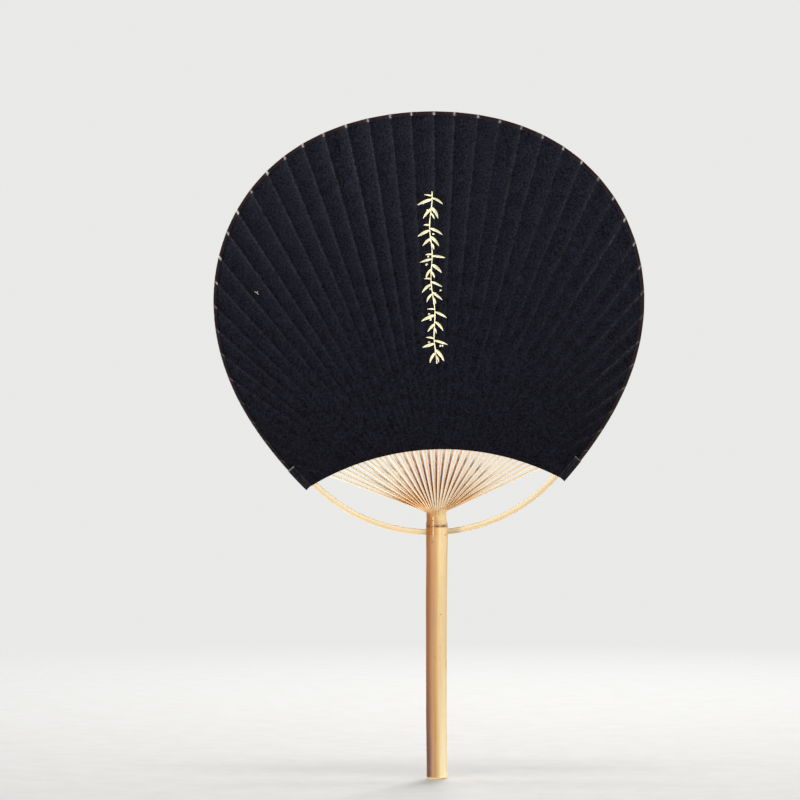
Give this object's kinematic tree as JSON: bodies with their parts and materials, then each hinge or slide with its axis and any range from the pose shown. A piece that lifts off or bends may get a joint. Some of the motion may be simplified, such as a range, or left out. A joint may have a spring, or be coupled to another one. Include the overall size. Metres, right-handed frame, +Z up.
{
  "type": "round hand fan",
  "caption": "Round paper hand fan: a whole bamboo cane split into ribs, held open by a bamboo bow, with black paper on both sides.",
  "frame": {"origin": "on the axis of the handle, halfway up its straight grip, where the grip mount is", "axes": "+Z up the handle to the head, +Y from the front of the fan to its back, +X to the right as seen from the front"},
  "size_m": [0.25, 0.013, 0.3865],
  "materials": {
    "cane": "polished natural bamboo skin, glossy, tan to honey with fine fibres",
    "rib_bamboo": "split bamboo, cream skin with warm brown split sides, satin",
    "bow_bamboo": "planed pale bamboo, satin",
    "willow": "cut willow end grain, matte",
    "thread": "undyed twisted cotton thread, matte",
    "black_paper": "black handmade paper with a faint blue cast, mottled fibres, matte",
    "trim_paper": "dark reddish-brown paper strip, slight sheen on its fold",
    "ear_paper": "black paper tab with crisp folded edges, matte"
  },
  "bodies": {
    "root": {"handle": "cane", "handle_plug": "willow", "bow": "bow_bamboo", "weaving_thread": "thread", "lashing_left": "thread", "lashing_right": "thread", "rib_01": "rib_bamboo", "rib_02": "rib_bamboo", "rib_03": "rib_bamboo", "rib_04": "rib_bamboo", "rib_05": "rib_bamboo", "rib_06": "rib_bamboo", "rib_07": "rib_bamboo", "rib_08": "rib_bamboo", "rib_09": "rib_bamboo", "rib_10": "rib_bamboo", "rib_11": "rib_bamboo", "rib_12": "rib_bamboo", "rib_13": "rib_bamboo", "rib_14": "rib_bamboo", "rib_15": "rib_bamboo", "rib_16": "rib_bamboo", "rib_17": "rib_bamboo", "rib_18": "rib_bamboo", "rib_19": "rib_bamboo", "rib_20": "rib_bamboo", "rib_21": "rib_bamboo", "rib_22": "rib_bamboo", "rib_23": "rib_bamboo", "rib_24": "rib_bamboo", "rib_25": "rib_bamboo", "rib_26": "rib_bamboo", "rib_27": "rib_bamboo", "rib_28": "rib_bamboo", "rib_29": "rib_bamboo", "rib_30": "rib_bamboo", "rib_31": "rib_bamboo", "rib_32": "rib_bamboo", "rib_33": "rib_bamboo", "rib_34": "rib_bamboo", "rib_35": "rib_bamboo", "rib_36": "rib_bamboo", "rib_37": "rib_bamboo", "rib_38": "rib_bamboo", "rib_39": "rib_bamboo", "rib_40": "rib_bamboo", "rib_41": "rib_bamboo", "rib_42": "rib_bamboo", "front_paper": "black_paper", "back_paper": "black_paper", "edge_trim": "trim_paper", "ear_left": "ear_paper", "ear_right": "ear_paper"}
  },
  "joints": []
}
